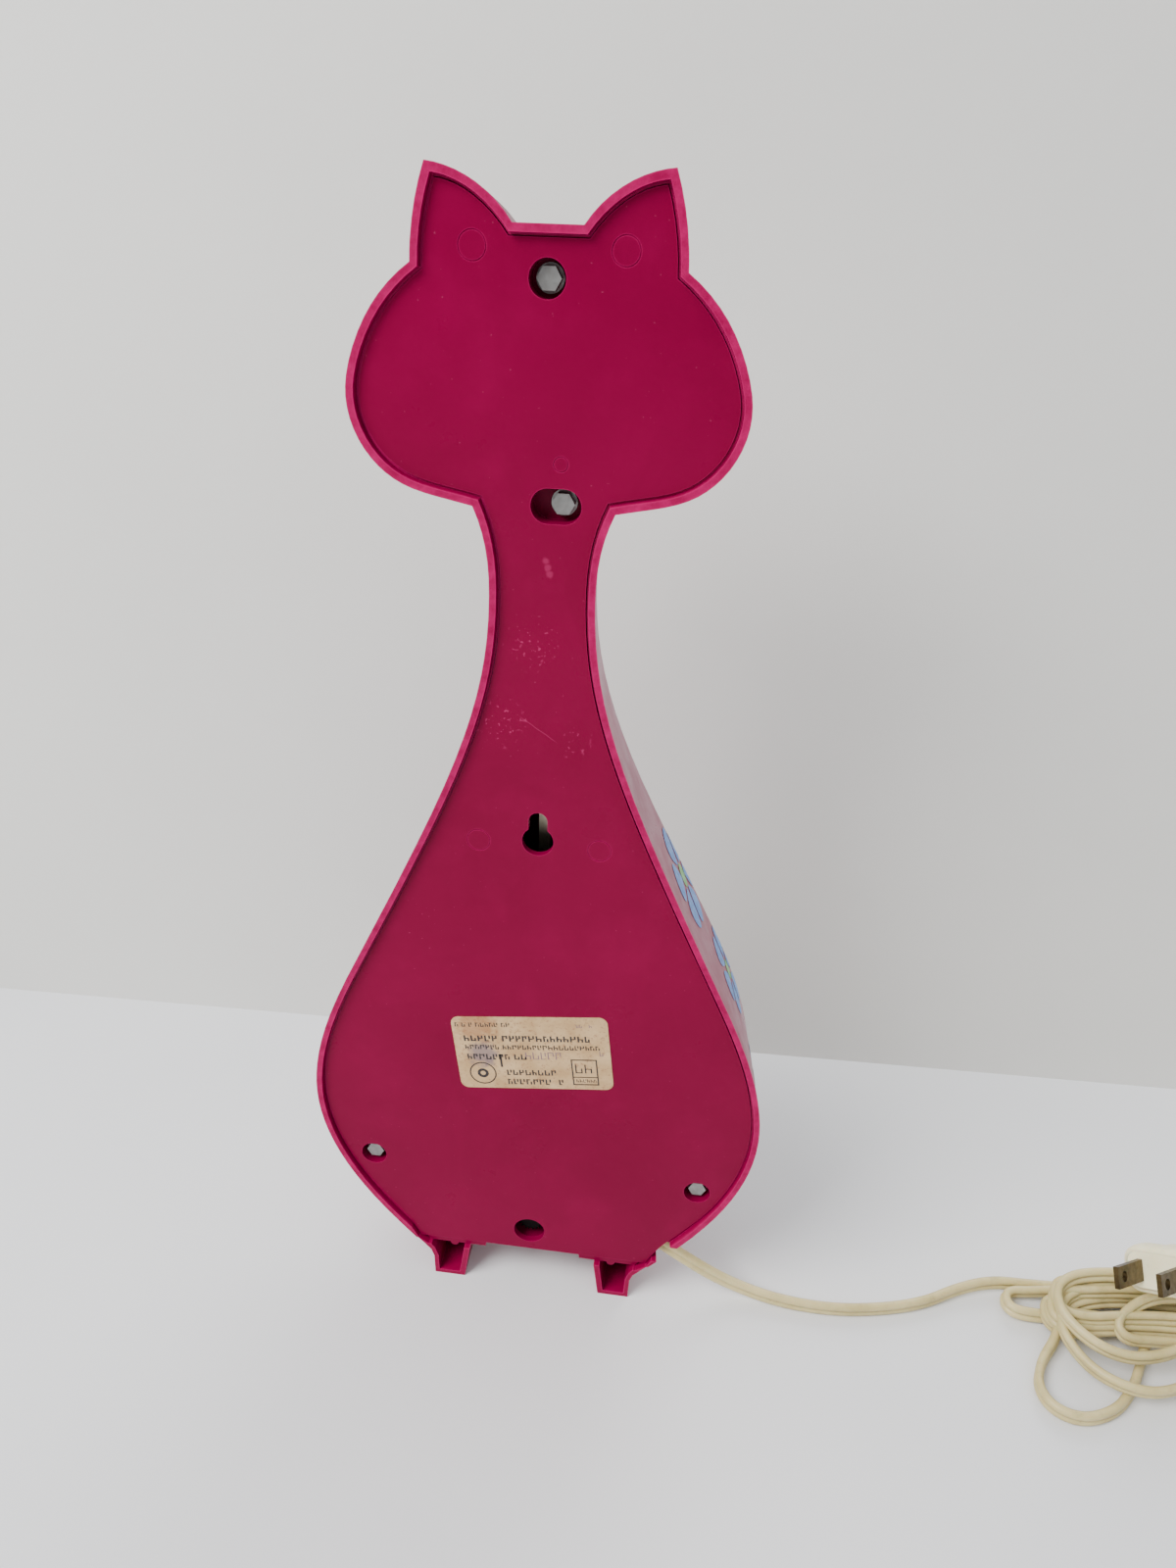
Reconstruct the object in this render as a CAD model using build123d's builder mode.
"""Cat-shaped electric wall and table clock, with a swinging tail and moving eyes.

Units are millimetres.  +Z is up, +Y points out of the rear cover and -Y is the dial
side.  The origin is on the surface that the feet and the tail rest on, at the centre
of the clock's box, which leaves out the supply cord.  Gear and lever axes run along Y.
"""
import math
import os
from build123d import *

os.makedirs("parts", exist_ok=True)

# ---- driving dimensions: case ------------------------------------------------------
RIM_Y = 59.0              # rear edge of the front case
COVER_Y = 57.5            # outer face of the rear cover
COVER_T = 2.0             # cover thickness
WALL = 1.7                # case wall
BELLY_Y = 17.0            # outer front face of the belly
HEAD_Y = 40.0             # outer front face of the head
DRAFT = 4.0               # how far the outline has drawn in at BELLY_Y
COVER_GAP = 2.5           # from the rim's outer edge to the cover's edge
BOTTOM_Z = 15.1           # underside of the body
EDGE_R = 3.5              # round of the front edge

# ---- driving dimensions: dial, movement and levers ---------------------------------
DIAL_Z = 72.0             # dial centre height
DIAL_R = 42.5
OPENING_R = 41.0
SET_X = 1.0               # set knob, behind the low hole in the cover
SET_Z = 23.2
FRONT_PLATE_Y = 27.0      # movement plates, front faces
BACK_PLATE_Y = 40.0
PLATE_T = 1.2
HANGER_Z = 50.0           # pivot of the tail hanger
HANGER_Y = 42.6
HOOK_Z = 7.0              # hinge that carries the tail
EYE_PIVOT_Z = 215.0
EYE_BOSS = 6.2             # reaches into the front wall, not through it
EYE_Z = 281.0
LINK_Z = 90.0             # where the hanger's pin drives the eye lever
EYE_LEVER_Y = 46.0
CLEAR = 0.06              # running clearance of shafts, on the radius

# Right half of the case outline at the rim, from the top centre to the bottom centre.
# Each stretch is one curve and shares its end point with the next one.
HALF_OUTLINE = [
    [(0, 314.4), (7.5, 314.4)],
    [(7.5, 314.4), (12.6, 319.8), (18.8, 323.4), (25.8, 325.1)],
    [(25.8, 325.1), (28.3, 316.5), (29.5, 306.3)],
    [(29.5, 306.3), (38, 298.1), (43.5, 287.6), (45.2, 279.3), (42.4, 268.8), (34, 260.6),
     (24.5, 257.6), (16.6, 256.0)],
    [(16.6, 256.0), (13.3, 244.5), (12.8, 234), (14.6, 216), (19.4, 198), (31.6, 168),
     (50.6, 128), (63.6, 98), (67.8, 73), (65.4, 58), (56.2, 38), (42.2, 19.5),
     (38.3, BOTTOM_Z)],
    [(38.3, BOTTOM_Z), (0, BOTTOM_Z)],
]


def at_depth(y):
    """Sketch plane across the clock at depth y: sketch X is X, sketch Y is Z."""
    return Plane.XZ.offset(-y)


def inset_half(inset, floor):
    """The half outline moved inwards by inset, with its bottom at floor, stretch by stretch."""
    flat = [point for stretch in HALF_OUTLINE for point in stretch[:-1]]
    flat.append(HALF_OUTLINE[-1][-1])
    first = (-flat[1][0], flat[1][1])
    last = (-flat[-2][0], flat[-2][1])
    ring = [first] + flat + [last]
    moved = []
    for before, here, after in zip(ring, ring[1:], ring[2:]):
        way_in = Vector(here[0] - before[0], here[1] - before[1]).normalized()
        way_out = Vector(after[0] - here[0], after[1] - here[1]).normalized()
        normal_in = Vector(way_in.Y, -way_in.X)
        normal_out = Vector(way_out.Y, -way_out.X)
        shift = (normal_in + normal_out) * (inset / (1 + normal_in.dot(normal_out)))
        height = floor if here[1] == BOTTOM_Z else here[1] + shift.Y
        moved.append((here[0] + shift.X, height))
    stretches = []
    start = 0
    for stretch in HALF_OUTLINE:
        end = start + len(stretch) - 1
        stretches.append(moved[start:end + 1])
        start = end
    return stretches


def cat_outline(inset, floor=BOTTOM_Z):
    """Draw the closed cat outline, inset from the rim's outer edge, in a BuildLine."""
    for stretch in inset_half(inset, floor):
        for side in (1, -1):
            points = [(side * x, z) for x, z in stretch]
            if len(points) == 2:
                Line(*points)
            else:
                Spline(*points)


def front_profile(skin):
    """Closed side view of the room between the front surface and the back."""
    belly = BELLY_Y + skin
    head = HEAD_Y + skin
    Spline((belly, 108), (belly + 3.8, 142), (belly + 12.5, 178), (head - 2.6, 216), (head, 248),
           tangents=((0, 1), (0, 1)))
    Polyline((head, 248), (head, 330), (70, 330), (70, -10), (belly, -10), (belly, 108))


def front_edges(blank):
    """The edges where the side walls meet the front surface."""
    picked = []
    for edge in blank.edges():
        box = edge.bounding_box()
        level = box.size.Z < 0.05 and 20 < box.min.Z < 310
        if box.max.Y < RIM_Y - 0.5 and not level:
            picked.append(edge)
    return picked


def disc(centre, radius, back, front, mode=Mode.ADD):
    """Solid cylinder along Y between two depths, added to the current part."""
    with Locations((centre[0], (back + front) / 2, centre[1])):
        Cylinder(radius, back - front, rotation=(90, 0, 0), mode=mode)


def hole(centre, radius, back, front):
    """Round hole along Y between two depths, cut from the current part."""
    disc(centre, radius, back, front, Mode.SUBTRACT)


def cat_blank(inset, skin, edge_round, floor):
    """Solid cat body: the inset outline, drawn in towards the front, cut by the front profile."""
    front_y = BELLY_Y - 3
    draft = DRAFT * (RIM_Y - front_y) / (RIM_Y - BELLY_Y)
    with BuildPart() as blank:
        with BuildSketch(at_depth(RIM_Y)):
            with BuildLine():
                cat_outline(inset, floor)
            make_face()
        with BuildSketch(at_depth(front_y)):
            with BuildLine():
                cat_outline(inset + draft, floor)
            make_face()
        loft(ruled=True)
        with BuildSketch(Plane.YZ.offset(-80)):
            with BuildLine():
                front_profile(skin)
            make_face()
        extrude(amount=160, mode=Mode.INTERSECT)
        fillet(front_edges(blank.part), edge_round)
    return blank.part


def save(part, name):
    """Label a finished piece and write it to its STEP file."""
    part.label = name
    export_step(part, f"parts/{name}.step")


# ---- screw places: upper pair and lower pair in the cover, four for the movement -----
TOP_SCREW = (0.2, 304.1)
NECK_SCREW = (-4.0, 256.9)
LOW_SCREWS = [(51.4, 48.9), (-51.4, 48.9)]
COVER_SCREWS = [TOP_SCREW, NECK_SCREW] + LOW_SCREWS
WELL_R = 4.05             # screw wells in the cover
WELL_WALL = 1.1
SEAT_Y = 52.0             # heads of the upper cover screws rest here
LOW_SEAT_Y = 53.0         # and those of the lower pair here
SEAT_T = 1.0
MOVEMENT_SCREWS = [(48, 92), (-48, 92), (40, 36), (-40, 36)]
NOTCH_Z = (18.0, 25.2)    # cord exit in the rim
NOTCH_Y = 50.2
NOTCH_X = (-50.0, -35.0)
EYE_X = 16.0
TAB_Z = 13.1              # lower edge of the cover's two tabs
TAB_STEP = 0.4            # how far the tabs lie below the cover's face
LEDGE_Y = COVER_Y - COVER_T   # the cover's edge rests on a ledge round the inside of the rim
LEDGE_IN = 1.6            # how far it reaches under the cover
LEDGE_T = 1.6
STEP_Y = 56.9             # low step that fills most of the gap beside the cover
STEP_CLEAR = 0.2

# ---- front case -----------------------------------------------------------------------
outer = cat_blank(0, 0, EDGE_R, BOTTOM_Z)
cavity = cat_blank(WALL, WALL, EDGE_R - WALL, BOTTOM_Z + WALL)

with BuildPart() as front_case:
    add(outer)
    add(cavity, mode=Mode.SUBTRACT)
    # ledge under the cover's edge, clear of the screw wells, and the step beside that edge
    with BuildSketch(at_depth(LEDGE_Y)):
        with BuildLine():
            cat_outline(WALL - 0.3)
        make_face()
        with BuildLine():
            cat_outline(COVER_GAP + LEDGE_IN)
        make_face(mode=Mode.SUBTRACT)
        with Locations(*LOW_SCREWS):
            Circle(WELL_R + WELL_WALL + 0.1, mode=Mode.SUBTRACT)
    extrude(amount=LEDGE_T)
    with BuildSketch(at_depth(STEP_Y)):
        with BuildLine():
            cat_outline(WALL - 0.3)
        make_face()
        with BuildLine():
            cat_outline(COVER_GAP - STEP_CLEAR)
        make_face(mode=Mode.SUBTRACT)
    extrude(amount=STEP_Y - LEDGE_Y)
    # screw posts for the cover, standing on the inside of the front wall
    with BuildSketch(at_depth(SEAT_Y - SEAT_T)):
        with Locations(TOP_SCREW, NECK_SCREW):
            Circle(3.4)
    extrude(amount=SEAT_Y - SEAT_T - HEAD_Y - 0.6)
    with BuildSketch(at_depth(LOW_SEAT_Y - SEAT_T)):
        with Locations(*LOW_SCREWS):
            Circle(3.8)
    extrude(amount=LOW_SEAT_Y - SEAT_T - BELLY_Y - 0.6)
    # movement posts and the boss of the eye lever's pin
    with BuildSketch(at_depth(FRONT_PLATE_Y)):
        with Locations(*MOVEMENT_SCREWS):
            Circle(3.6)
    extrude(amount=FRONT_PLATE_Y - BELLY_Y - 0.6)
    with BuildSketch(at_depth(EYE_LEVER_Y - 1.5)):
        with Locations((0, EYE_PIVOT_Z)):
            Circle(3.4)
    extrude(amount=EYE_BOSS)
    # feet: two hollow stubs, open to the rear
    with BuildSketch(at_depth(RIM_Y)):
        for side in (1, -1):
            with BuildLine():
                Polyline((side * 32.4, 0), (side * 32.6, 7.6), (side * 33.6, 10.4), (side * 35.8, 13),
                         (side * 38.3, BOTTOM_Z + 0.6), (side * 20.2, BOTTOM_Z + 0.6),
                         (side * 22.4, 0), close=True)
            make_face()
    extrude(amount=RIM_Y - BELLY_Y - 3)
    with BuildSketch(at_depth(RIM_Y)):
        for side in (1, -1):
            with BuildLine():
                Polyline((side * 31, 1.5), (side * 31.2, 8), (side * 32.2, 11), (side * 34, BOTTOM_Z - 1.6),
                         (side * 22.4, BOTTOM_Z - 1.6), (side * 24, 1.5), close=True)
            make_face()
    extrude(amount=RIM_Y - BELLY_Y - 5, mode=Mode.SUBTRACT)
    # dial opening, eye openings, tail slot, cord notch
    with BuildSketch(at_depth(BELLY_Y + WALL + 1)):
        with Locations((0, DIAL_Z)):
            Circle(OPENING_R)
    extrude(amount=WALL + 2, mode=Mode.SUBTRACT)
    with BuildSketch(at_depth(HEAD_Y + WALL + 0.3)):
        with Locations((EYE_X, EYE_Z), (-EYE_X, EYE_Z)):
            Ellipse(8.4, 5.2)
    extrude(amount=WALL + 2, mode=Mode.SUBTRACT)
    with BuildSketch(Plane.XY.offset(BOTTOM_Z - 1)):
        with Locations((0, HANGER_Y + 0.9)):
            RectangleRounded(26, 7, 1.5)
    extrude(amount=WALL + 2, mode=Mode.SUBTRACT)
    with BuildSketch(at_depth(RIM_Y + 1)):
        with Locations(((NOTCH_X[0] + NOTCH_X[1]) / 2, sum(NOTCH_Z) / 2)):
            Rectangle(NOTCH_X[1] - NOTCH_X[0], NOTCH_Z[1] - NOTCH_Z[0])
    extrude(amount=RIM_Y + 1 - NOTCH_Y, mode=Mode.SUBTRACT)
    # step along the bottom that the cover's lower edge and tabs sit in
    with BuildSketch(at_depth(RIM_Y + 1)):
        with BuildLine():
            Polyline((-37.6, BOTTOM_Z), (-34.4, TAB_Z - 0.3), (34.4, TAB_Z - 0.3), (37.6, BOTTOM_Z),
                     (39.9, 19.6), (-39.9, 19.6), close=True)
        make_face()
    extrude(amount=RIM_Y + 1 - COVER_Y + COVER_T, mode=Mode.SUBTRACT)
    # screw holes
    with BuildSketch(at_depth(SEAT_Y - SEAT_T)):
        with Locations(TOP_SCREW, NECK_SCREW):
            Circle(1.5)
    extrude(amount=7.5, mode=Mode.SUBTRACT)
    with BuildSketch(at_depth(LOW_SEAT_Y - SEAT_T)):
        with Locations(*LOW_SCREWS):
            Circle(1.5)
    extrude(amount=7.5, mode=Mode.SUBTRACT)
    with BuildSketch(at_depth(FRONT_PLATE_Y)):
        with Locations(*MOVEMENT_SCREWS):
            Circle(1.3)
    extrude(amount=6, mode=Mode.SUBTRACT)
    with BuildSketch(at_depth(EYE_LEVER_Y - 1.5)):
        with Locations((0, EYE_PIVOT_Z)):
            Circle(1.5)
    extrude(amount=4.5, mode=Mode.SUBTRACT)
save(front_case.part, "front_case")

# ---- rear cover -----------------------------------------------------------------------
NECK_SLOT = (-2.65, 256.7)
NECK_SLOT_SIZE = (11.9, 8.1)
KEYHOLE = (0.3, 168.3)
KEYHOLE_R = 4.25
KEYHOLE_SLOT_R = 2.55
KEYHOLE_TOP = 174.3
SET_HOLE_R = 5.0
EJECTOR_RINGS = [((16.3, 309.9), 3.15), ((-16.3, 309.9), 3.15), ((16.3, 167.2), 3.25),
                 ((-16.3, 167.2), 3.25), ((-3.6, 266.2), 1.8)]
RING_W = 0.3
RING_DEPTH = 0.15

with BuildPart() as rear_cover:
    with BuildSketch(at_depth(COVER_Y)):
        with BuildLine():
                cat_outline(COVER_GAP)
        make_face()
    extrude(amount=COVER_T)
    # tabs over the tops of the feet, each with a small moulded nub
    with BuildSketch(at_depth(COVER_Y - TAB_STEP)):
        for side in (1, -1):
            with BuildLine():
                Polyline((side * 15.2, BOTTOM_Z + 1), (side * 15.6, TAB_Z), (side * 33.9, TAB_Z),
                         (side * 35.4, BOTTOM_Z + 0.2), (side * 35, 19), close=True)
            make_face()
            with Locations((side * 26, TAB_Z)):
                Circle(1.3)
    extrude(amount=COVER_T - TAB_STEP)
    # cups of the screw wells reach in to the posts
    with BuildSketch(at_depth(COVER_Y - COVER_T)):
        with Locations(TOP_SCREW):
            Circle(WELL_R + WELL_WALL)
        with Locations(NECK_SLOT):
            SlotOverall(NECK_SLOT_SIZE[0] + 2 * WELL_WALL, NECK_SLOT_SIZE[1] + 2 * WELL_WALL)
    extrude(amount=COVER_Y - COVER_T - SEAT_Y + SEAT_T)
    with BuildSketch(at_depth(COVER_Y - COVER_T)):
        with Locations(*LOW_SCREWS):
            Circle(WELL_R + WELL_WALL)
    extrude(amount=COVER_Y - COVER_T - LOW_SEAT_Y + SEAT_T)
    with BuildSketch(at_depth(COVER_Y)):
        with Locations(TOP_SCREW):
            Circle(WELL_R)
        with Locations(NECK_SLOT):
            SlotOverall(*NECK_SLOT_SIZE)
    extrude(amount=COVER_Y - SEAT_Y, mode=Mode.SUBTRACT)
    with BuildSketch(at_depth(COVER_Y)):
        with Locations(*LOW_SCREWS):
            Circle(WELL_R)
    extrude(amount=COVER_Y - LOW_SEAT_Y, mode=Mode.SUBTRACT)
    with BuildSketch(at_depth(COVER_Y)):
        with Locations(*COVER_SCREWS):
            Circle(1.8)
    extrude(amount=COVER_Y - SEAT_Y + SEAT_T + 1, mode=Mode.SUBTRACT)
    # keyhole to hang the clock, and the hole over the set knob
    with BuildSketch(at_depth(COVER_Y)):
        with Locations(KEYHOLE):
            Circle(KEYHOLE_R)
        with Locations((KEYHOLE[0], KEYHOLE_TOP)):
            Circle(KEYHOLE_SLOT_R)
        with Locations((KEYHOLE[0], (KEYHOLE[1] + KEYHOLE_TOP) / 2)):
            Rectangle(2 * KEYHOLE_SLOT_R, KEYHOLE_TOP - KEYHOLE[1])
        with Locations((SET_X, SET_Z)):
            Circle(SET_HOLE_R)
    extrude(amount=COVER_T, mode=Mode.SUBTRACT)
    # shallow rings left by the mould's ejector pins
    with BuildSketch(at_depth(COVER_Y)):
        for centre, radius in EJECTOR_RINGS:
            with Locations(centre):
                Circle(radius)
                Circle(radius - RING_W, mode=Mode.SUBTRACT)
    extrude(amount=RING_DEPTH, mode=Mode.SUBTRACT)
save(rear_cover.part, "rear_cover")

# ---- fasteners ------------------------------------------------------------------------
SHANK_R = 1.5
WASHER_R = 3.1
WASHER_T = 0.9
HEX_FLATS_R = 2.38
HEX_TOP = 3.1             # head and washer together


def hex_screws(places, seat_y, length):
    """Hex-head screws with their washers: heads face the rear, shanks run in from the seat."""
    with BuildPart() as screws:
        with BuildSketch(at_depth(seat_y + WASHER_T)):
            with Locations(*places):
                Circle(WASHER_R)
        extrude(amount=WASHER_T)
        with BuildSketch(at_depth(seat_y + HEX_TOP)):
            with Locations(*places):
                RegularPolygon(HEX_FLATS_R, 6, major_radius=False)
        extrude(amount=HEX_TOP - WASHER_T)
        with BuildSketch(at_depth(seat_y)):
            with Locations(*places):
                Circle(SHANK_R)
        extrude(amount=length)
    return screws.part


save(hex_screws([TOP_SCREW, NECK_SCREW], SEAT_Y, 8), "upper_cover_screws")
save(hex_screws(LOW_SCREWS, LOW_SEAT_Y, 8), "lower_cover_screws")

with BuildPart() as movement_screws:
    with BuildSketch(at_depth(FRONT_PLATE_Y + PLATE_T + 1.7)):
        with Locations(*MOVEMENT_SCREWS):
            Circle(2.6)
    extrude(amount=1.7)
    with BuildSketch(at_depth(FRONT_PLATE_Y + PLATE_T + 1.7)):
        with Locations(*MOVEMENT_SCREWS):
            Rectangle(6, 0.8)
    extrude(amount=0.8, mode=Mode.SUBTRACT)
    with BuildSketch(at_depth(FRONT_PLATE_Y + PLATE_T)):
        with Locations(*MOVEMENT_SCREWS):
            Circle(1.3)
    extrude(amount=PLATE_T + 5)
save(movement_screws.part, "movement_screws")

# ---- rating label: a paper rectangle stuck on a slight slant ----------------------------
LABEL_SIZE = (46.5, 26.5)
LABEL_AT = (0.8, 96.6)
LABEL_TILT = 7.0          # degrees, the -X end is higher
with BuildPart() as rating_label:
    with BuildSketch(at_depth(COVER_Y + 0.15)):
        with Locations(Location((LABEL_AT[0], LABEL_AT[1], 0), (0, 0, -LABEL_TILT))):
            RectangleRounded(*LABEL_SIZE, 2.5)
    extrude(amount=0.15)
save(rating_label.part, "rating_label")

# ---- dial, bezel and lens ---------------------------------------------------------------
DIAL_Y = 19.0             # printed face of the dial
DIAL_T = 1.0
LENS_R = 39.6
LENS_Y = 9.4              # middle of the domed lens
LENS_DOME_R = 281.4
LENS_T = 1.2
HOUR_TUBE_R = 2.4
with BuildPart() as dial:
    with BuildSketch(at_depth(DIAL_Y + DIAL_T)):
        with Locations((0, DIAL_Z)):
            Circle(DIAL_R)
            Circle(HOUR_TUBE_R + 0.3, mode=Mode.SUBTRACT)
    extrude(amount=DIAL_T)
save(dial.part, "dial")

DIAL_AXIS = Axis((0, 0, DIAL_Z), (0, 1, 0))
with BuildPart() as bezel:
    with BuildSketch(Plane.YZ):
        with BuildLine():
            Polyline((DIAL_Y, DIAL_Z + OPENING_R), (DIAL_Y, DIAL_Z + 38.2), (13.4, DIAL_Z + 38.2),
                     (13.4, DIAL_Z + LENS_R), (11.6, DIAL_Z + LENS_R))
            Spline((11.6, DIAL_Z + LENS_R), (10.8, DIAL_Z + 41.0), (12.6, DIAL_Z + 44.0),
                   (BELLY_Y, DIAL_Z + 46.0))
            Polyline((BELLY_Y, DIAL_Z + 46.0), (BELLY_Y, DIAL_Z + OPENING_R),
                     (DIAL_Y, DIAL_Z + OPENING_R))
        make_face()
    revolve(axis=DIAL_AXIS)
save(bezel.part, "bezel")

with BuildPart() as lens:
    disc((0, DIAL_Z), LENS_R, 13.4, LENS_Y)
    with Locations((0, LENS_Y + LENS_DOME_R, DIAL_Z)):
        Sphere(LENS_DOME_R, mode=Mode.INTERSECT)
        Sphere(LENS_DOME_R - LENS_T, mode=Mode.SUBTRACT)
save(lens.part, "lens")

# ---- gears --------------------------------------------------------------------------------
MODULE = 0.5              # motion work and set train
FINE_MODULE = 0.4         # going train
TOOTH_HALF = 0.205        # half tooth at the pitch circle, in pitches
TIP_HALF = 0.07


def beyond(centre, distance, angle):
    """The point at this distance and angle from centre."""
    return (centre[0] + distance * math.cos(math.radians(angle)),
            centre[1] + distance * math.sin(math.radians(angle)))


def gear_points(centre, teeth, module, phase):
    """Outline of a spur gear with clock-shaped teeth; phase is a tooth's angle in degrees."""
    pitch = 360 / teeth
    radius = module * teeth / 2
    root = radius - 1.2 * module
    tip = radius + 0.85 * module
    corners = [(root, -TOOTH_HALF), (radius, -TOOTH_HALF), (tip, -TIP_HALF),
               (tip, TIP_HALF), (radius, TOOTH_HALF), (root, TOOTH_HALF)]
    points = []
    for tooth in range(teeth):
        for reach, share in corners:
            points.append(beyond(centre, reach, phase + (tooth + share) * pitch))
    return points


def gear(centre, teeth, module, phase, back, front):
    """Spur gear along Y between two depths, added to the current part."""
    with BuildSketch(at_depth(back)) as face:
        with BuildLine():
            Polyline(*gear_points(centre, teeth, module, phase), close=True)
        make_face()
    extrude(face.sketch, amount=back - front)


def mesh_phase(phase, teeth, other_teeth, angle):
    """Phase of the gear that meshes with this one, seen from it at this angle."""
    turn = (angle - phase) * teeth / 360
    return angle + 180 - (0.5 - turn) * 360 / other_teeth


CENTRE = (0, DIAL_Z)
SECOND_R = 0.8
CANNON_R = 1.6
ARBOR_R = 0.6

# motion work: cannon pinion 10 > minute wheel 30, its pinion 8 > hour wheel 32, so 12 to 1
CANNON_TEETH, MINUTE_TEETH, MINUTE_PINION, HOUR_TEETH = 10, 30, 8, 32
MINUTE_AT = beyond(CENTRE, MODULE * (CANNON_TEETH + MINUTE_TEETH) / 2, 90)
MINUTE_PHASE = mesh_phase(0, CANNON_TEETH, MINUTE_TEETH, 90)
HOUR_PHASE = mesh_phase(0, MINUTE_PINION, HOUR_TEETH, -90)
# set train: cannon gear 30 > idler 72 > set pinion 20, straight down
SET_GEAR, IDLER_TEETH, SET_TEETH = 30, 72, 20
SET_WAY = math.degrees(math.atan2(SET_Z - DIAL_Z, SET_X))
IDLER_AT = beyond(CENTRE, MODULE * (SET_GEAR + IDLER_TEETH) / 2, SET_WAY)
SET_AT = beyond(IDLER_AT, MODULE * (IDLER_TEETH + SET_TEETH) / 2, SET_WAY)
IDLER_PHASE = mesh_phase(0, SET_GEAR, IDLER_TEETH, SET_WAY)
SET_PHASE = mesh_phase(IDLER_PHASE, IDLER_TEETH, SET_TEETH, SET_WAY)
# going train: rotor pinion 8 > 60, 8 > 60, 8 > 64, so 450 turns of the rotor a minute
PINION = 8
FIRST_TEETH, MIDDLE_TEETH, SECOND_TEETH = 60, 60, 64
MIDDLE_WAY, FIRST_WAY, ROTOR_WAY = 45, 20, -60
MIDDLE_AT = beyond(CENTRE, FINE_MODULE * (PINION + SECOND_TEETH) / 2, MIDDLE_WAY)
FIRST_AT = beyond(MIDDLE_AT, FINE_MODULE * (PINION + MIDDLE_TEETH) / 2, FIRST_WAY)
ROTOR_AT = beyond(FIRST_AT, FINE_MODULE * (PINION + FIRST_TEETH) / 2, ROTOR_WAY)
SECOND_PHASE = mesh_phase(0, PINION, SECOND_TEETH, MIDDLE_WAY + 180)
MIDDLE_PHASE = mesh_phase(0, PINION, MIDDLE_TEETH, FIRST_WAY + 180)
FIRST_PHASE = mesh_phase(0, PINION, FIRST_TEETH, ROTOR_WAY + 180)


# ---- hands --------------------------------------------------------------------------------
def hand_plane(y, angle):
    """Sketch plane at the dial centre whose Y runs along a hand, angle clockwise from 12."""
    turn = math.radians(angle)
    return Plane(origin=(0, y, DIAL_Z), x_dir=(math.cos(turn), 0, -math.sin(turn)),
                 z_dir=(0, -1, 0))


def leaf(length, width, tail):
    """Leaf-shaped hand outline along sketch Y."""
    for side in (1, -1):
        Spline((side * 0.7, -tail), (side * width * 0.5, length * 0.18),
               (side * width, length * 0.55), (side * 0.35, length))
    Line((-0.7, -tail), (0.7, -tail))
    Line((-0.35, length), (0.35, length))


HOUR_HAND_Y, MINUTE_HAND_Y, SECOND_HAND_Y = 17.4, 16.2, 15.0
HAND_T = 0.5
with BuildPart() as hour_hand:
    with BuildSketch(hand_plane(HOUR_HAND_Y + HAND_T, 305)):
        with BuildLine():
            leaf(22, 2.6, 5)
        make_face()
        Circle(3.4)
        Circle(HOUR_TUBE_R, mode=Mode.SUBTRACT)
    extrude(amount=HAND_T)
save(hour_hand.part, "hour_hand")

with BuildPart() as minute_hand:
    with BuildSketch(hand_plane(MINUTE_HAND_Y + HAND_T, 60)):
        with BuildLine():
            leaf(33, 2.1, 6)
        make_face()
        Circle(2.8)
        Circle(CANNON_R, mode=Mode.SUBTRACT)
    extrude(amount=HAND_T)
save(minute_hand.part, "minute_hand")

with BuildPart() as second_hand:
    with BuildSketch(hand_plane(SECOND_HAND_Y + HAND_T, 210)):
        with BuildLine():
            Polyline((-0.55, -9), (0.55, -9), (0.3, 35), (-0.3, 35), close=True)
        make_face()
        Circle(2.0)
        Circle(SECOND_R, mode=Mode.SUBTRACT)
    extrude(amount=HAND_T)
save(second_hand.part, "second_hand")

# ---- motion work and set train ---------------------------------------------------------------
with BuildPart() as hour_wheel:
    gear(CENTRE, HOUR_TEETH, MODULE, HOUR_PHASE, 22.4, 21.2)
    disc(CENTRE, HOUR_TUBE_R, 21.2, HOUR_HAND_Y)
    hole(CENTRE, CANNON_R + CLEAR, 23, 17)
save(hour_wheel.part, "hour_wheel")

with BuildPart() as cannon_pinion:
    gear(CENTRE, SET_GEAR, MODULE, 0, 26.2, 25.0)
    gear(CENTRE, CANNON_TEETH, MODULE, 0, 25.0, 23.0)
    disc(CENTRE, CANNON_R, 23.0, MINUTE_HAND_Y)
    hole(CENTRE, SECOND_R + CLEAR, 27, 16)
save(cannon_pinion.part, "cannon_pinion")

with BuildPart() as minute_wheel:
    gear(MINUTE_AT, MINUTE_TEETH, MODULE, MINUTE_PHASE, 24.5, 23.3)
    gear(MINUTE_AT, MINUTE_PINION, MODULE, 0, 23.3, 20.9)
    hole(MINUTE_AT, ARBOR_R + CLEAR, 25, 20)
save(minute_wheel.part, "minute_wheel")

with BuildPart() as set_idler:
    gear(IDLER_AT, IDLER_TEETH, MODULE, IDLER_PHASE, 26.2, 25.0)
    hole(IDLER_AT, 1.5 + CLEAR, 27, 24)
save(set_idler.part, "set_idler")

with BuildPart() as set_shaft:
    gear(SET_AT, SET_TEETH, MODULE, SET_PHASE, 26.4, 24.8)
    disc(SET_AT, 1.5, 50.0, 24.0)
save(set_shaft.part, "set_shaft")

with BuildPart() as set_knob:
    gear(SET_AT, 18, 0.4, 0, 54.0, 48.5)
    hole(SET_AT, 1.5, 50.0, 48.0)
save(set_knob.part, "set_knob")

# ---- going train -------------------------------------------------------------------------------
with BuildPart() as second_arbor:
    disc(CENTRE, SECOND_R, BACK_PLATE_Y + PLATE_T, SECOND_HAND_Y - 0.3)
    gear(CENTRE, SECOND_TEETH, FINE_MODULE, SECOND_PHASE, 38.4, 37.4)
save(second_arbor.part, "second_arbor")

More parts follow.
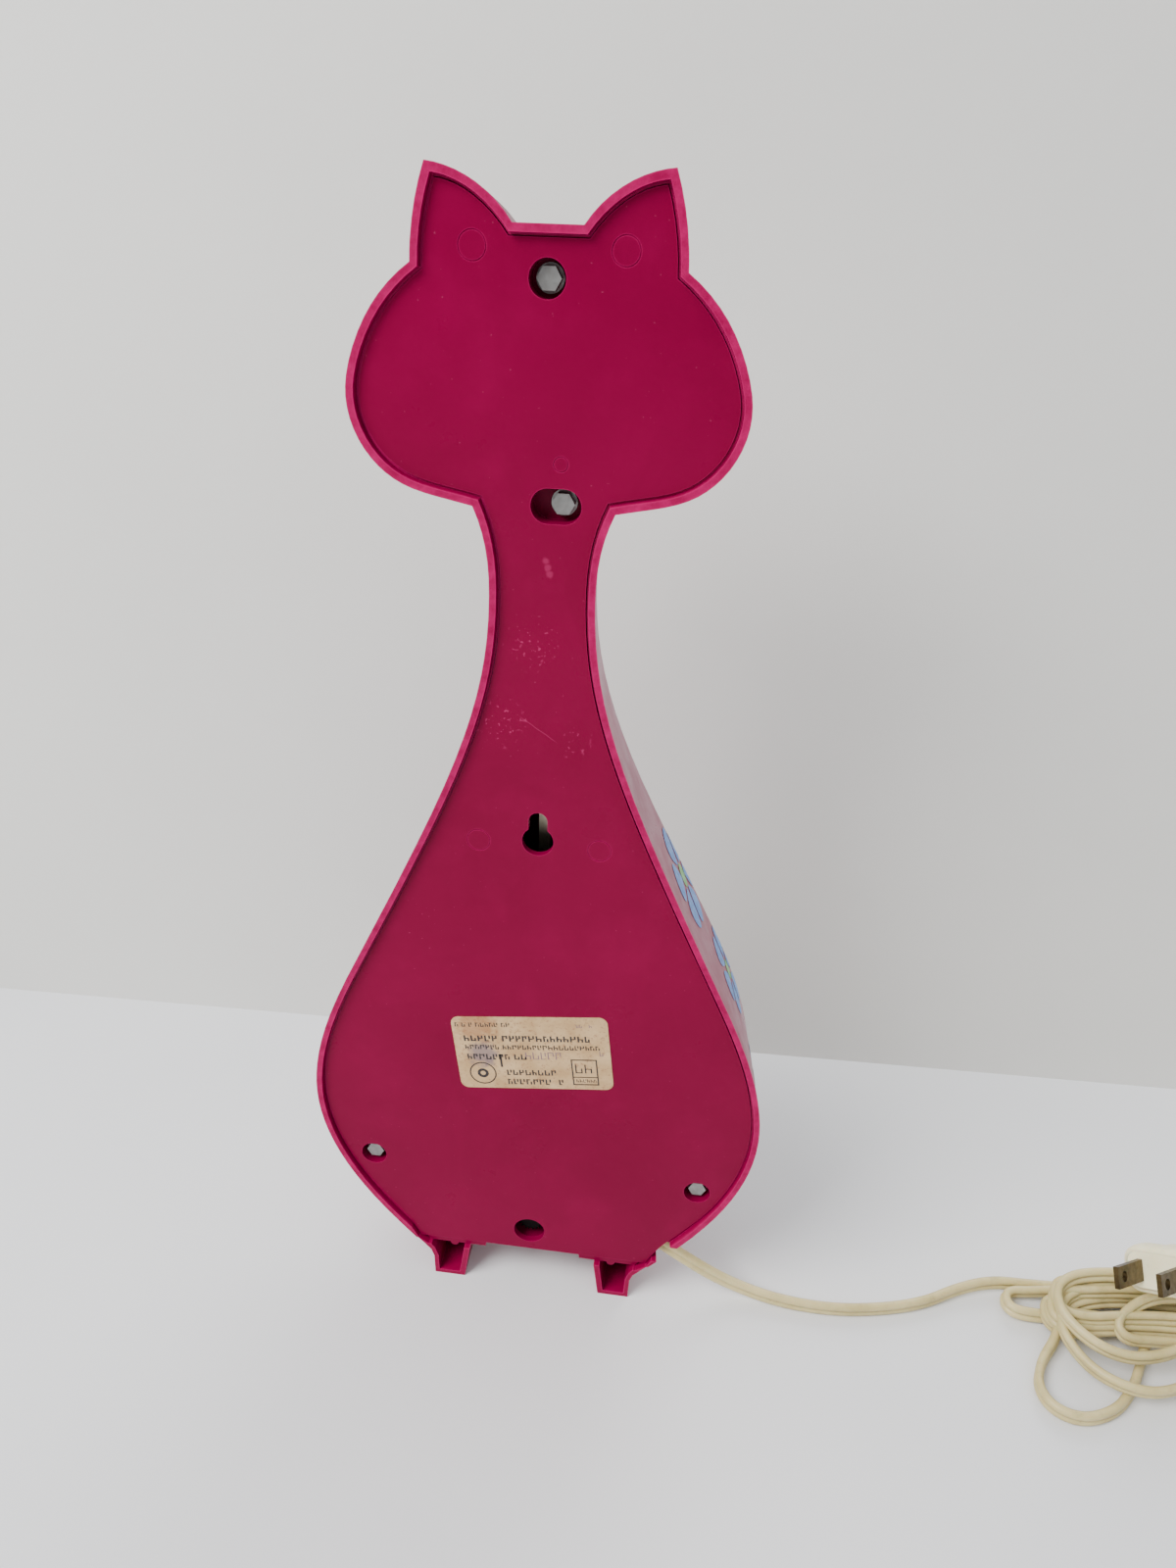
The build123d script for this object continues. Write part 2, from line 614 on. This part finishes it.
with BuildPart() as middle_wheel:
    disc(MIDDLE_AT, ARBOR_R, BACK_PLATE_Y + PLATE_T, FRONT_PLATE_Y)
    gear(MIDDLE_AT, MIDDLE_TEETH, FINE_MODULE, MIDDLE_PHASE, 35.6, 34.6)
    gear(MIDDLE_AT, PINION, FINE_MODULE, 0, 39.0, 36.6)
save(middle_wheel.part, "middle_wheel")

with BuildPart() as first_wheel:
    disc(FIRST_AT, ARBOR_R, BACK_PLATE_Y + PLATE_T, FRONT_PLATE_Y)
    gear(FIRST_AT, FIRST_TEETH, FINE_MODULE, FIRST_PHASE, 32.2, 31.2)
    gear(FIRST_AT, PINION, FINE_MODULE, 0, 36.4, 33.8)
save(first_wheel.part, "first_wheel")

ROTOR_R = 7.6
with BuildPart() as rotor:
    disc(ROTOR_AT, ARBOR_R, 50.0, FRONT_PLATE_Y)
    gear(ROTOR_AT, PINION, FINE_MODULE, 0, 33.0, 30.4)
    disc(ROTOR_AT, ROTOR_R, 48.6, 42.4)
save(rotor.part, "rotor")

# ---- movement frame ------------------------------------------------------------------------------
PILLARS = [(-22, 99), (35, 99), (-22, 57), (35, 57)]
PILLAR_R = 2.0
PLATE_MID = (6.5, 78.0)
PLATE_SIZE = (65.0, 50.0)


def plate_outline():
    """Main rectangle of a movement plate with the tongue down to the set shaft."""
    with Locations(PLATE_MID):
        RectangleRounded(*PLATE_SIZE, 4)
    with Locations((SET_X, 38.3)):
        RectangleRounded(18, 41, 4)


with BuildPart() as front_plate:
    with BuildSketch(at_depth(FRONT_PLATE_Y + PLATE_T)):
        plate_outline()
        with Locations((0, 92)):
            RectangleRounded(104, 9, 4)
        with Locations((0, 36)):
            RectangleRounded(87, 9, 4)
    extrude(amount=PLATE_T)
    back = FRONT_PLATE_Y + PLATE_T
    # stubs that carry the minute wheel and the set idler, in front of the plate
    disc(MINUTE_AT, ARBOR_R, FRONT_PLATE_Y, 20.7)
    disc(IDLER_AT, 1.5, FRONT_PLATE_Y, 24.4)
    for centre, radius in ((CENTRE, SECOND_R), (MIDDLE_AT, ARBOR_R), (FIRST_AT, ARBOR_R),
                           (ROTOR_AT, ARBOR_R), (SET_AT, 1.5)):
        hole(centre, radius + CLEAR, back, FRONT_PLATE_Y)
    for centre in MOVEMENT_SCREWS:
        hole(centre, 1.3, back, FRONT_PLATE_Y)
save(front_plate.part, "front_plate")

with BuildPart() as back_plate:
    with BuildSketch(at_depth(BACK_PLATE_Y + PLATE_T)):
        plate_outline()
    extrude(amount=PLATE_T)
    back = BACK_PLATE_Y + PLATE_T
    for centre, radius in ((CENTRE, SECOND_R), (MIDDLE_AT, ARBOR_R), (FIRST_AT, ARBOR_R),
                           (ROTOR_AT, ARBOR_R), (SET_AT, 1.5)):
        hole(centre, radius + CLEAR, back, BACK_PLATE_Y)
    hole((0, HANGER_Z), 1.5, back, BACK_PLATE_Y)
save(back_plate.part, "back_plate")

with BuildPart() as plate_pillars:
    for centre in PILLARS:
        disc(centre, PILLAR_R, BACK_PLATE_Y, FRONT_PLATE_Y + PLATE_T)
save(plate_pillars.part, "plate_pillars")

# ---- motor: laminated stator, coil on a bobbin, rotor bridge -----------------------------------------
STATOR_FRONT = 42.4
STATOR_BACK = 48.6
LEG_X = (46.5, 52.5)
STATOR_Z = (ROTOR_AT[1] - 18, ROTOR_AT[1] + 18)
WINDOW_X = (40.0, LEG_X[0])
BORE_R = 8.4
with BuildPart() as stator:
    with BuildSketch(at_depth(STATOR_BACK)):
        with Locations(((18.4 + LEG_X[1]) / 2, ROTOR_AT[1])):
            RectangleRounded(LEG_X[1] - 18.4, STATOR_Z[1] - STATOR_Z[0], 1.5)
        with Locations((sum(WINDOW_X) / 2, ROTOR_AT[1])):
            Rectangle(WINDOW_X[1] - WINDOW_X[0], 24, mode=Mode.SUBTRACT)
        with Locations(ROTOR_AT):
            Circle(BORE_R, mode=Mode.SUBTRACT)
        with Locations((ROTOR_AT[0] - 10, ROTOR_AT[1]), (ROTOR_AT[0] + 9, ROTOR_AT[1])):
            Rectangle(5, 1.6, mode=Mode.SUBTRACT)
    extrude(amount=STATOR_BACK - STATOR_FRONT)
    # fixing holes through to the back plate
    for centre in ((22, STATOR_Z[0] + 4), (22, STATOR_Z[1] - 4)):
        hole(centre, 1.3, STATOR_BACK, STATOR_FRONT)
save(stator.part, "stator")

STATOR_FIXES = [(22, STATOR_Z[0] + 4), (22, STATOR_Z[1] - 4)]
with BuildPart() as stator_screws:
    for centre in STATOR_FIXES:
        disc(centre, 2.4, STATOR_BACK + 1.6, STATOR_BACK)
        disc(centre, 1.3, STATOR_BACK, BACK_PLATE_Y + PLATE_T)
        with BuildSketch(at_depth(STATOR_BACK + 1.6)):
            with Locations(centre):
                Rectangle(6, 0.8)
        extrude(amount=0.8, mode=Mode.SUBTRACT)
save(stator_screws.part, "stator_screws")

with BuildPart() as stator_spacers:
    for centre in STATOR_FIXES:
        disc(centre, 2.6, STATOR_FRONT, BACK_PLATE_Y + PLATE_T)
        hole(centre, 1.3, STATOR_FRONT, BACK_PLATE_Y + PLATE_T)
save(stator_spacers.part, "stator_spacers")

LEG_MID = (sum(LEG_X) / 2, (STATOR_FRONT + STATOR_BACK) / 2)
LEG_W = LEG_X[1] - LEG_X[0]
LEG_T = STATOR_BACK - STATOR_FRONT
with BuildPart() as coil_bobbin:
    for low in (ROTOR_AT[1] - 11.8, ROTOR_AT[1] + 10.6):
        with BuildSketch(Plane.XY.offset(low)):
            with Locations(LEG_MID):
                RectangleRounded(LEG_W + 11.6, LEG_T + 11.6, 3)
        extrude(amount=1.2)
    with BuildSketch(Plane.XY.offset(ROTOR_AT[1] - 11)):
        with Locations(LEG_MID):
            RectangleRounded(LEG_W + 2, LEG_T + 2, 0.8)
    extrude(amount=22)
    with BuildSketch(Plane.XY.offset(ROTOR_AT[1] - 12)):
        with Locations(LEG_MID):
            Rectangle(LEG_W, LEG_T)
    extrude(amount=24, mode=Mode.SUBTRACT)
save(coil_bobbin.part, "coil_bobbin")

with BuildPart() as coil_winding:
    with BuildSketch(Plane.XY.offset(ROTOR_AT[1] - 10.6)):
        with Locations(LEG_MID):
            RectangleRounded(LEG_W + 10.4, LEG_T + 10.4, 3.5)
            Rectangle(LEG_W + 2, LEG_T + 2, mode=Mode.SUBTRACT)
    extrude(amount=21.2)
save(coil_winding.part, "coil_winding")

# ---- tail hanger: a rocking plate on a stud behind the movement ----------------------------------------
HANGER_T = 2.0
HANGER_BACK = HANGER_Y + HANGER_T
HANGER_ARC = HANGER_Z - SET_AT[1]
SLOT_HALF = 2.6
SLOT_TURN = 14.0
with BuildPart() as hanger_stud:
    disc((0, HANGER_Z), 1.5, 47.0, BACK_PLATE_Y)
    disc((0, HANGER_Z), 2.6, HANGER_Y - 0.3, BACK_PLATE_Y + PLATE_T)
    disc((0, HANGER_Z), 2.8, 46.4, HANGER_BACK + 0.5)
save(hanger_stud.part, "hanger_stud")

with BuildPart() as tail_hanger:
    with BuildSketch(at_depth(HANGER_BACK)):
        # upper arm and pivot boss
        with Locations((0, (HANGER_Z + LINK_Z) / 2)):
            RectangleRounded(6, LINK_Z - HANGER_Z + 6, 2.9)
        with Locations((0, HANGER_Z)):
            Circle(5)
        # fan with the curved slot that clears the set shaft
        with BuildLine():
            reach = HANGER_ARC + 5.2
            Polyline((-3, HANGER_Z - 3), beyond((0, HANGER_Z), reach, 246))
            ThreePointArc(beyond((0, HANGER_Z), reach, 246), (0, HANGER_Z - reach),
                          beyond((0, HANGER_Z), reach, 294))
            Polyline(beyond((0, HANGER_Z), reach, 294), (3, HANGER_Z - 3), (-3, HANGER_Z - 3))
        make_face()
        pivot = (0, HANGER_Z)
        with BuildLine():
            for reach in (HANGER_ARC - SLOT_HALF, HANGER_ARC + SLOT_HALF):
                ThreePointArc(beyond(pivot, reach, 270 - SLOT_TURN), beyond(pivot, reach, 270),
                              beyond(pivot, reach, 270 + SLOT_TURN))
            for way in (-1, 1):
                turn = 270 + way * SLOT_TURN
                ThreePointArc(beyond(pivot, HANGER_ARC - SLOT_HALF, turn),
                              beyond(pivot, HANGER_ARC, turn + way * 5.4),
                              beyond(pivot, HANGER_ARC + SLOT_HALF, turn))
        make_face(mode=Mode.SUBTRACT)
        # stem through the floor of the case
        with Locations((0, (HANGER_Z - HANGER_ARC - 3.6 + 10.6) / 2)):
            Rectangle(8.6, HANGER_Z - HANGER_ARC - 3.6 - 10.6)
        with Locations((0, HANGER_Z)):
            Circle(1.5 + CLEAR, mode=Mode.SUBTRACT)
    extrude(amount=HANGER_T)
    # pin that drives the eye lever, and the two ears that hold the tail
    disc((0, LINK_Z), 1.2, EYE_LEVER_Y + 2.4, HANGER_BACK)
    hook_y = HANGER_Y + HANGER_T / 2
    for side in (1, -1):
        with BuildSketch(Plane.YZ.offset(side * 3.7)):
            with Locations((hook_y, HOOK_Z)):
                Circle(2.8)
            with Locations((hook_y, HOOK_Z + 2.4)):
                Rectangle(HANGER_T, 4.8)
        extrude(amount=0.7, both=True)
    with BuildSketch(Plane.YZ.offset(-5)):
        with Locations((hook_y, HOOK_Z)):
            Circle(1.1)
    extrude(amount=10, mode=Mode.SUBTRACT)
save(tail_hanger.part, "tail_hanger")

with BuildPart() as tail_pin:
    with BuildSketch(Plane.YZ.offset(-4.9)):
        with Locations((hook_y, HOOK_Z)):
            Circle(1.1)
    extrude(amount=9.8)
save(tail_pin.part, "tail_pin")

with BuildPart() as swing_magnet:
    with BuildSketch(at_depth(HANGER_BACK + 3)):
        with Locations((0, 72)):
            RectangleRounded(5, 9, 0.6)
    extrude(amount=3)
save(swing_magnet.part, "swing_magnet")

# ---- eye lever: pinned in the neck, driven from below by the hanger ------------------------------------
EYE_LEVER_T = 1.6
EYE_BAR_Y = 43.3
with BuildPart() as eye_pivot_pin:
    disc((0, EYE_PIVOT_Z), 1.5, EYE_LEVER_Y + 4.2, EYE_LEVER_Y - 6)
    disc((0, EYE_PIVOT_Z), 2.6, EYE_LEVER_Y + 4.0, EYE_LEVER_Y + 3.4)
save(eye_pivot_pin.part, "eye_pivot_pin")

with BuildPart() as eye_lever:
    with BuildSketch(at_depth(EYE_LEVER_Y + EYE_LEVER_T)):
        with BuildLine():
            Polyline((-1.6, EYE_PIVOT_Z), (-1.6, 100), (-2.9, 97), (-2.9, 83), (2.9, 83), (2.9, 97),
                     (1.6, 100), (1.6, EYE_PIVOT_Z), (7.0, 245), (7.4, 266), (3, 274), (3, EYE_Z + 4),
                     (-3, EYE_Z + 4), (-3, 272), (4.4, 263), (4.0, 246), close=True)
        make_face()
        with Locations((0, EYE_PIVOT_Z)):
            Circle(4)
        with Locations((0, LINK_Z)):
            SlotOverall(11, 2 * 1.35, rotation=90, mode=Mode.SUBTRACT)
        with Locations((0, EYE_PIVOT_Z)):
            Circle(1.5 + CLEAR, mode=Mode.SUBTRACT)
    extrude(amount=EYE_LEVER_T)
    # post that carries the eye bar
    disc((0, EYE_Z), 2, EYE_LEVER_Y, EYE_BAR_Y + 1.2)
save(eye_lever.part, "eye_lever")

with BuildPart() as eye_bar:
    with BuildSketch(at_depth(EYE_BAR_Y + 1.2)):
        with Locations((0, EYE_Z)):
            RectangleRounded(59, 13.5, 4)
    extrude(amount=1.2)
save(eye_bar.part, "eye_bar")

with BuildPart() as pupils:
    for side in (1, -1):
        disc((side * EYE_X, EYE_Z), 3.9, EYE_BAR_Y, EYE_BAR_Y - 0.8)
save(pupils.part, "pupils")

# ---- tail: lies forward on the table, hinged to the hanger, and hangs down on a wall ------------------
TAIL_T = 5.6
TAIL_LOW = 0.0
# centre line points (x, y) and half widths, from the hinge forward to the curled tip
TAIL_PATH = [(0, 38.5, 3.6), (0, 18, 4.2), (3.5, -4, 4.6), (5.5, -24, 4.8), (0, -42, 4.7),
             (-13, -52.4, 4.5), (-26, -50.5, 4.3), (-32, -40, 4.0), (-29, -29.5, 3.4)]


def tail_side(side):
    """Points along one edge of the tail."""
    points = []
    for index, (x, y, half) in enumerate(TAIL_PATH):
        before = TAIL_PATH[max(index - 1, 0)]
        after = TAIL_PATH[min(index + 1, len(TAIL_PATH) - 1)]
        way = Vector(after[0] - before[0], after[1] - before[1]).normalized()
        points.append((x - side * way.Y * half, y + side * way.X * half))
    return points


with BuildPart() as tail:
    left_edge = tail_side(1)
    right_edge = tail_side(-1)
    tip = (TAIL_PATH[-1][0] + 1.6, TAIL_PATH[-1][1] + 3.6)
    with BuildSketch(Plane.XY.offset(TAIL_LOW)):
        with BuildLine():
            Spline(*left_edge)
            Spline(*right_edge)
            Line(left_edge[0], right_edge[0])
            ThreePointArc(left_edge[-1], tip, right_edge[-1])
        make_face()
    extrude(amount=TAIL_T)
    fillet(tail.edges().filter_by(lambda edge: edge.bounding_box().size.Z < 0.01
                                  and edge.bounding_box().min.Y < 30), 1.4)
    # knuckle round the pin
    with BuildSketch(Plane.YZ.offset(-2.6)):
        with Locations((hook_y, HOOK_Z)):
            Circle(2.8)
        with BuildLine():
            Polyline((hook_y, HOOK_Z + 2.8), (38, TAIL_T), (34, TAIL_T), (34, 1), (38, 1),
                     (hook_y, HOOK_Z - 2.8), close=True)
        make_face()
    extrude(amount=5.2)
    with BuildSketch(Plane.YZ.offset(-6)):
        with Locations((hook_y, HOOK_Z)):
            Circle(1.1 + CLEAR)
    extrude(amount=12, mode=Mode.SUBTRACT)
save(tail.part, "tail")

# ---- supply cord -----------------------------------------------------------------------------------------
CORD_D = 4.8
CORD_PATH = [(-38.0, 52.8, 22.8), (-52.6, 54.2, 14.2), (-64.2, 52.2, 5.2), (-80.0, 54.6, 2.5),
             (-97.5, 55.6, 2.4), (-113.5, 53.2, 2.4), (-128.8, 48.6, 2.4), (-141.0, 41.6, 3.2),
             (-153.0, 37.6, 4.2), (-165.0, 36.8, 3.4)]


def tangent_radii(points):
    """Arc radius at each inner corner: as large as its two runs allow."""
    radii = []
    for before, here, after in zip(points, points[1:], points[2:]):
        run_in = Vector(*here) - Vector(*before)
        run_out = Vector(*after) - Vector(*here)
        half_turn = math.radians(run_in.get_angle(run_out) / 2)
        shorter = min(run_in.length, run_out.length)
        radii.append(0.45 * shorter / math.tan(half_turn))
    return radii


cord_radii = tangent_radii(CORD_PATH)
print("cord radii", [round(radius, 1) for radius in cord_radii])
with BuildPart() as cord_run:
    with BuildLine() as cord_line:
        FilletPolyline(*CORD_PATH, radius=cord_radii)
    with BuildSketch(Plane(origin=CORD_PATH[0], z_dir=cord_line.wire() % 0)):
        Circle(CORD_D / 2)
    sweep()
cord_length = cord_line.wire().length
print("cord run", round(cord_length, 1), "volume", round(cord_run.part.volume, 1),
      "section x length", round(math.pi * CORD_D ** 2 / 4 * cord_length, 1))
save(cord_run.part, "cord_run")

# block under the cover that grips the cord's end inside the rim's notch
GROMMET_Y = (49.6, COVER_Y - COVER_T - 0.1)
with BuildPart() as cord_grommet:
    with BuildSketch(at_depth(GROMMET_Y[1])):
        with BuildLine():
            Polyline((-31, BOTTOM_Z + WALL), (-36, BOTTOM_Z + WALL), (-41.8, 25), (-31, 25), close=True)
        make_face()
    extrude(amount=GROMMET_Y[1] - GROMMET_Y[0])
save(cord_grommet.part, "cord_grommet")

HANK_TOP = 20.4
LOOPS_TOP = 10.0          # three slack loops lie beside the hank
with BuildPart() as cord_hank:
    with BuildSketch(Plane.XY):
        with BuildLine():
            Spline((-153.5, 44), (-163, 34), (-190, 31.5), (-225, 31), (-246, 36), (-248, 50),
                   (-228, 57), (-190, 57), (-164, 57), periodic=True)
        make_face()
    extrude(amount=HANK_TOP)
    with BuildSketch(Plane.XY):
        with BuildLine():
            Spline((-158, 62), (-157.4, 76), (-167, 84.4), (-182, 83), (-196, 78), (-210, 71),
                   (-222, 61), (-216, 52), (-180, 50), periodic=True)
        make_face()
    extrude(amount=LOOPS_TOP)
save(cord_hank.part, "cord_hank")

# plug lies on the hank: blades point along PLUG_WAY, blade pair set apart along PLUG_SIDE
PLUG_FACE = (-195.6, 51.6, 33.0)
PLUG_WAY = (0.72, 0.60, 0.355)
PLUG_SIDE = (-0.686, 0.526, 0.502)
plug_plane = Plane(origin=PLUG_FACE, x_dir=PLUG_SIDE, z_dir=PLUG_WAY)
with BuildPart() as plug_body:
    with BuildSketch(plug_plane):
        RectangleRounded(24, 14, 5)
    with BuildSketch(plug_plane.offset(-22)):
        RectangleRounded(17, 11, 4.5)
    loft()
save(plug_body.part, "plug_body")

BLADE_GAP = 12.7
with BuildPart() as plug_blades:
    with BuildSketch(plug_plane):
        with Locations((BLADE_GAP / 2, 0), (-BLADE_GAP / 2, 0)):
            Rectangle(1.5, 6.35)
    extrude(amount=16)
    with BuildSketch(Plane(origin=plug_plane.from_local_coords((-12, 0, 12.2)),
                           x_dir=plug_plane.y_dir, z_dir=plug_plane.x_dir)):
        Circle(1.6)
    extrude(amount=24, mode=Mode.SUBTRACT)
save(plug_blades.part, "plug_blades")
